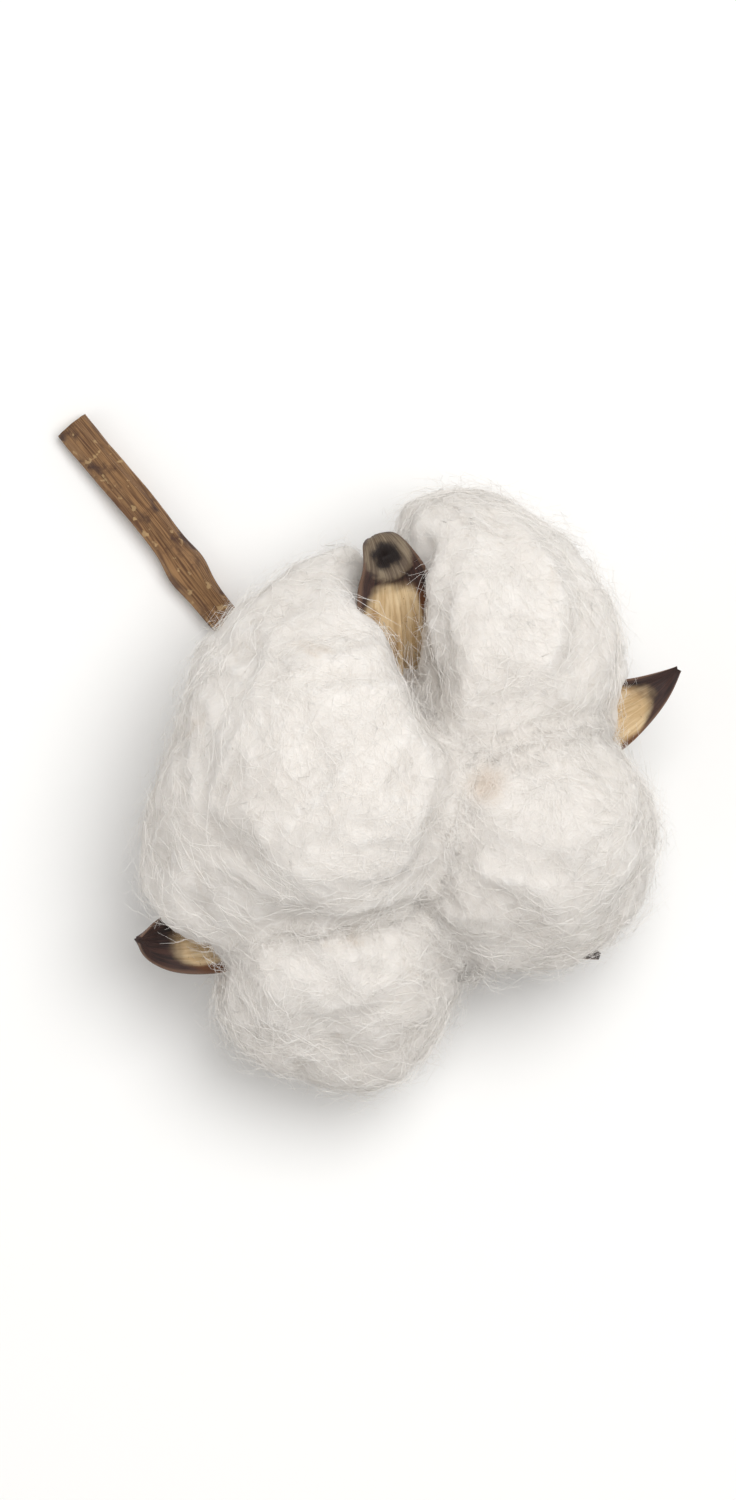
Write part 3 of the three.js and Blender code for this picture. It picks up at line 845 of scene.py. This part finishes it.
def kept_number(name):
    node = add(fibres, "GeometryNodeInputNamedAttribute", data_type="FLOAT")
    node.inputs["Name"].default_value = name
    return node.outputs["Attribute"]


print("fibre tree inputs:", [item.name for item in fibres.interface.items_tree])

# %% Lint: fibres planted on the skin
roots = add(fibres, "GeometryNodeDistributePointsOnFaces")
link(fibres, skin, roots.inputs["Mesh"])
density = gmath("MULTIPLY", inlet.outputs["Density"], kept_number("open_part"))
link(fibres, density, roots.inputs["Density"])
link(fibres, inlet.outputs["Seed"], roots.inputs["Seed"])
root_normal = roots.outputs["Normal"]
root_place = add(fibres, "GeometryNodeInputPosition").outputs["Position"]
drift = field_vector(root_place, 95, 1.0)
heading = vmath("ADD", drift, vmath("SCALE", random_vector(3), scale=0.45))
into_skin = vmath("SCALE", root_normal, scale=vmath("DOT_PRODUCT", heading, root_normal))
aim = add(fibres, "FunctionNodeAlignRotationToVector", axis="Z")
link(fibres, vmath("SUBTRACT", heading, into_skin), aim.inputs["Vector"])
strand = add(fibres, "GeometryNodeCurvePrimitiveLine")
strand.inputs["Start"].default_value = (0, 0, -0.5)
strand.inputs["End"].default_value = (0, 0, 0.5)
jointed = add(fibres, "GeometryNodeResampleCurve")
jointed.inputs["Count"].default_value = 6
link(fibres, strand.outputs["Curve"], jointed.inputs["Curve"])
planted = add(fibres, "GeometryNodeInstanceOnPoints")
link(fibres, roots.outputs["Points"], planted.inputs["Points"])
link(fibres, jointed.outputs["Curve"], planted.inputs["Instance"])
link(fibres, aim.outputs["Rotation"], planted.inputs["Rotation"])
lengths = gmath("MULTIPLY", inlet.outputs["Length"], random_number(0.4, 1.3, 11))
link(fibres, lengths, planted.inputs["Scale"])
few = gmath("POWER", random_number(0.0, 1.0, 17), 6.0)
marked = keep_number(planted.outputs["Instances"], "stand_off", few)
marked = keep_number(marked, "shade", random_number(0.0, 1.0, 23))
marked = keep_number(marked, "twist", random_number(-1.5, 1.5, 29))
real = add(fibres, "GeometryNodeRealizeInstances")
link(fibres, marked, real.inputs["Geometry"])
print("fibres planted with", len(fibres.nodes), "nodes")

# %% Lint: each fibre laid along the skin
ABOVE_TABLE = (-1, -1, 0.00002)
nearest = add(fibres, "GeometryNodeProximity", target_element="FACES")
link(fibres, skin, nearest.inputs[0])
here = add(fibres, "GeometryNodeInputPosition").outputs["Position"]
normal_there = add(fibres, "GeometryNodeSampleNearestSurface", data_type="FLOAT_VECTOR")
link(fibres, skin, normal_there.inputs["Mesh"])
link(fibres, add(fibres, "GeometryNodeInputNormal").outputs["Normal"], normal_there.inputs["Value"])
skin_normal = normal_there.outputs["Value"]
along_fibre = add(fibres, "GeometryNodeSplineParameter").outputs["Factor"]
stand_off = kept_number("stand_off")
reach = gmath("MULTIPLY", stand_off, inlet.outputs["Loose"])
rising = gmath("MULTIPLY", reach, gmath("POWER", along_fibre, 1.3))
layer = gmath("MULTIPLY", kept_number("shade"), 0.00018)
lifted = gmath("ADD", gmath("ADD", rising, 0.00004), layer)
own_place = vmath("ADD", here, vmath("SCALE", skin_normal, scale=kept_number("twist")))
curls = field_vector(own_place, 380, 0.0)
curl_by = gmath("MULTIPLY", inlet.outputs["Curl"], gmath("ADD", 0.25, stand_off))
curls = vmath("SCALE", curls, scale=curl_by)
outward = vmath("SCALE", skin_normal, scale=vmath("DOT_PRODUCT", curls, skin_normal))
flat_curls = vmath("SUBTRACT", curls, outward)
placed = vmath("ADD", nearest.outputs["Position"], vmath("SCALE", skin_normal, scale=lifted))
placed = vmath("ADD", placed, flat_curls)
moved = add(fibres, "GeometryNodeSetPosition")
link(fibres, real.outputs["Geometry"], moved.inputs["Geometry"])
link(fibres, vmath("MAXIMUM", placed, ABOVE_TABLE), moved.inputs["Position"])
print("fibres laid with", len(fibres.nodes), "nodes")

# %% Lint: each fibre made a thin ribbon
faced = add(fibres, "GeometryNodeSetCurveNormal", mode="FREE")
link(fibres, moved.outputs["Geometry"], faced.inputs["Curve"])
link(fibres, skin_normal, faced.inputs["Normal"])
turned = add(fibres, "GeometryNodeSetCurveTilt")
link(fibres, faced.outputs["Curve"], turned.inputs["Curve"])
freedom = gmath("ADD", 0.2, gmath("MULTIPLY", stand_off, 3.0))
link(fibres, gmath("MULTIPLY", kept_number("twist"), freedom), turned.inputs["Tilt"])
breadth = add(fibres, "GeometryNodeCurvePrimitiveLine")
breadth.inputs["Start"].default_value = (0, -0.5, 0)
breadth.inputs["End"].default_value = (0, 0.5, 0)
drawn = add(fibres, "GeometryNodeCurveToMesh")
link(fibres, turned.outputs["Curve"], drawn.inputs["Curve"])
link(fibres, breadth.outputs["Curve"], drawn.inputs["Profile Curve"])
taper = gmath("SUBTRACT", 1.0, gmath("MULTIPLY", gmath("POWER", along_fibre, 2.0), 0.6))
link(fibres, gmath("MULTIPLY", inlet.outputs["Width"], taper), drawn.inputs["Scale"])
painted = add(fibres, "GeometryNodeSetMaterial")
link(fibres, drawn.outputs["Mesh"], painted.inputs["Geometry"])
link(fibres, inlet.outputs["Fibre Material"], painted.inputs["Material"])
both = add(fibres, "GeometryNodeJoinGeometry")
link(fibres, skin, both.inputs["Geometry"])
link(fibres, painted.outputs["Geometry"], both.inputs["Geometry"])
link(fibres, both.outputs["Geometry"], outlet.inputs["Geometry"])
print("fibre tree", len(fibres.nodes), "nodes")

# %% [markdown]
# A lock's skin is its solid, turned into even faces and smoothed. Sculpting would do as well, but
# a rule can be run again. Where two locks press on each other the lint meets in a wide shallow
# valley, not in a deep slit. A blanket drawn over all four locks and smoothed shows how shallow.

# %% Lint: even skins from the solids
VOXEL = 0.0006
SMOOTHING = 18
BLANKET_VOXEL = 0.0012
BLANKET_SMOOTHING = 55
BARE_FROM = 0.38
LOCKS = ["lock_left", "lock_upper", "lock_right", "lock_lower"]


def evaluated_mesh(obj, name):
    graph = bpy.context.evaluated_depsgraph_get()
    mesh = bpy.data.meshes.new_from_object(obj.evaluated_get(graph))
    mesh.name = name
    return mesh


def even_skin(nodes, name, voxel, smoothing):
    """The solids of the named nodes as one closed mesh of even faces, with softened facets."""
    made = bmesh.new()
    for node in nodes:
        made.from_mesh(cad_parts[node].data)
    bmesh.ops.remove_doubles(made, verts=made.verts, dist=1e-6)
    bmesh.ops.recalc_face_normals(made, faces=made.faces)
    mesh = bpy.data.meshes.new(name)
    made.to_mesh(mesh)
    made.free()
    obj = bpy.data.objects.new(name, mesh)
    scene.collection.objects.link(obj)
    remesh = obj.modifiers.new("even faces", "REMESH")
    remesh.mode = "VOXEL"
    remesh.voxel_size = voxel
    smooth = obj.modifiers.new("soft", "SMOOTH")
    smooth.factor = 0.5
    smooth.iterations = smoothing
    result = evaluated_mesh(obj, name)
    bpy.data.objects.remove(obj)
    return result


def tree_of(mesh, wanted=lambda face: True):
    faces = [tuple(face.vertices) for face in mesh.polygons if wanted(face)]
    return BVHTree.FromPolygons([v.co for v in mesh.vertices], faces)


def read_vectors(mesh, key):
    values = np.empty(len(mesh.vertices) * 3)
    mesh.vertices.foreach_get(key, values)
    return values.reshape(-1, 3)


def between(values, low, high):
    u = np.clip((values - low) / (high - low), 0, 1)
    return u * u * (3 - 2 * u)


bur_along = [value.value for value in bur.data.attributes["along"].data]
blanket = tree_of(even_skin(LOCKS, "blanket", BLANKET_VOXEL, BLANKET_SMOOTHING))
bur_near = tree_of(bur.data, lambda face: bur_along[face.vertices[0]] > BARE_FROM)
stem_near = tree_of(stem.data)
skins = {node: even_skin([node], node + "_fine", VOXEL, SMOOTHING) for node in LOCKS}
lock_near = {node: tree_of(mesh) for node, mesh in skins.items()}
print("skins of", {node: len(mesh.polygons) for node, mesh in skins.items()}, "faces")

# %% [markdown]
# Lint gives way to wood. The lower lock is pressed back by the left arm that lies over it, and
# the upper lock stands aside, so that the rim of the upper arm shows. The left lock has a soft
# shoulder drawn out to that arm's tip. Each rule moves a point by how near it is.

# %% Lint: how three of the locks fit round the arms
PRESS_REACH = 0.0055
PRESS_BELOW = 0.003
PRESS_WAY = (0.35, -0.75, -0.55)
ASIDE_REACH = 0.0032
ASIDE_WAY = (0.7, 0.1, 0)
SHOULDER = Vector((-7.5, 18, 24))
SHOULDER_REACH = 5.5
SHOULDER_PULL = (5.0, 4.4, 1.5)


def pressed_back(p):
    """The lower lock gives way to the left arm, which lies over its upper side."""
    found = bur_near.find_nearest(p, PRESS_REACH)
    if found[0] is None or p.z < found[0].z - PRESS_BELOW:
        return np.array(p)
    closeness = PRESS_REACH - found[3]
    return np.array(p) + np.array(PRESS_WAY) * closeness


def drawn_out(p):
    """A soft shoulder of the left lock, drawn out to the curled tip of the upper arm."""
    pull = math.exp(-((p - SHOULDER * MM).length / (SHOULDER_REACH * MM)) ** 2)
    return np.array(p) + np.array(SHOULDER_PULL) * MM * pull


def stood_aside(p):
    """The upper lock stands aside from the upper arm, so that the arm's right rim shows."""
    found = bur_near.find_nearest(p, ASIDE_REACH)
    closeness = 0.0 if found[0] is None else ASIDE_REACH - found[3]
    return np.array(p) + np.array(ASIDE_WAY) * closeness


FITS = {"lock_lower": pressed_back, "lock_left": drawn_out, "lock_upper": stood_aside}
print("fitted round the arms:", list(FITS))

# %% [markdown]
# Then each skin is raised to the blanket in its valleys, except close to the wood, and swollen
# into tufts: noise of four sizes, folded so that it makes rounded lumps with narrow furrows.
# The point's nearness to other locks and to wood is kept as two attributes. One darkens the
# creases with painted shade, the other thins the fibres out next to wood.

# %% Lint: tufts and valleys
RAISE_LIMIT = 0.0035
CREASE_SWELL = 0.0009
TUFT_WAVES = ((140, 0.0011), (300, 0.00045), (700, 0.00018), (1500, 0.00008))
NEAR_LOCK, NEAR_WOOD = 0.004, 0.005


def shape_lint(node):
    """Raises the valleys to the blanket, then swells soft tufts of several sizes."""
    mesh = skins[node]
    places = read_vectors(mesh, "co")
    count = len(places)
    raised = places.copy()
    beside = np.full(count, 1.0)
    near_wood = np.full(count, 1.0)
    others = [lock_near[other] for other in LOCKS if other != node]
    for i, p in enumerate(map(Vector, places)):
        for other in others:
            found = other.find_nearest(p, NEAR_LOCK)
            if found[0] is not None:
                beside[i] = min(beside[i], found[3])
        for wood in (bur_near, stem_near):
            found = wood.find_nearest(p, NEAR_WOOD)
            if found[0] is not None:
                near_wood[i] = min(near_wood[i], found[3])
        if node in FITS:
            raised[i] = places[i] = FITS[node](p)
        spot, facing, _, distance = blanket.find_nearest(p)
        above = (spot - p).dot(facing)
        if 0 < above < RAISE_LIMIT * 1.5:
            share = 1 - float(between(above, RAISE_LIMIT, RAISE_LIMIT * 1.5))
            raised[i] += np.array(spot - p) * (0.9 * share)
    clear = between(near_wood, 0.0008, 0.004)[:, None]
    places = places + (raised - places) * clear
    mesh.vertices.foreach_set("co", places.ravel())
    mesh.update()
    normals = read_vectors(mesh, "normal")
    lift = np.zeros(count)
    for scale, amount in TUFT_WAVES:
        for i in range(count):
            lift[i] += amount * (0.45 - abs(field.noise(Vector(places[i]) * scale)) * 1.6)
    lift *= 0.35 + 0.65 * between(near_wood, 0.0002, 0.002)
    lift += CREASE_SWELL * (1 - between(beside, 0.0006, 0.0028))
    moved = places + normals * lift[:, None]
    moved[:, 2] = np.maximum(moved[:, 2], 0.0)
    mesh.vertices.foreach_set("co", moved.ravel())
    mesh.update()
    # crease holds how near another lock is, for the painted shade in the creases.
    for name, values in (("crease", 1 - between(beside, 0.0003, 0.003)),
                         ("open_part", between(near_wood, 0.0014, 0.0036))):
        layer = mesh.attributes.new(name, "FLOAT", "POINT")
        layer.data.foreach_set("value", values.astype(np.float32))
    return mesh


def inputs_of(tree):
    """The identifier of each named input, which is what a modifier goes by."""
    items = [item for item in tree.interface.items_tree if item.in_out == "INPUT"]
    return {item.name: item.identifier for item in items}


print("tufts of", [round(1000 / scale) for scale, _ in TUFT_WAVES], "mm")

# %% Lint: the four locks
FIBRES_PER_LOCK = 12000
FIBRE = {"Length": 0.0075, "Width": 0.00005, "Curl": 0.0018, "Loose": 0.0032}
for seed, node in enumerate(LOCKS, start=1):
    mesh = shape_lint(node)
    mesh.shade_smooth()
    mesh.materials.clear()
    mesh.materials.append(lint_skin)
    lint = bpy.data.objects.new(node + "_fine", mesh)
    scene.collection.objects.link(lint)
    area = sum(face.area for face in mesh.polygons)
    modifier = lint.modifiers.new("fibres", "NODES")
    modifier.node_group = fibres
    names = inputs_of(fibres)
    modifier[names["Density"]] = FIBRES_PER_LOCK / area
    for key, value in FIBRE.items():
        modifier[names[key]] = value
    modifier[names["Seed"]] = seed
    modifier[names["Fibre Material"]] = fibre_skin
    dressed = evaluated_mesh(lint, node + "_fine")
    lint.modifiers.clear()
    lint.data = dressed
    dressed.calc_loop_triangles()
    print(node, len(mesh.polygons), "skin faces,", len(dressed.loop_triangles), "triangles in all")
    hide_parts(node)
    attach(lint, "root")
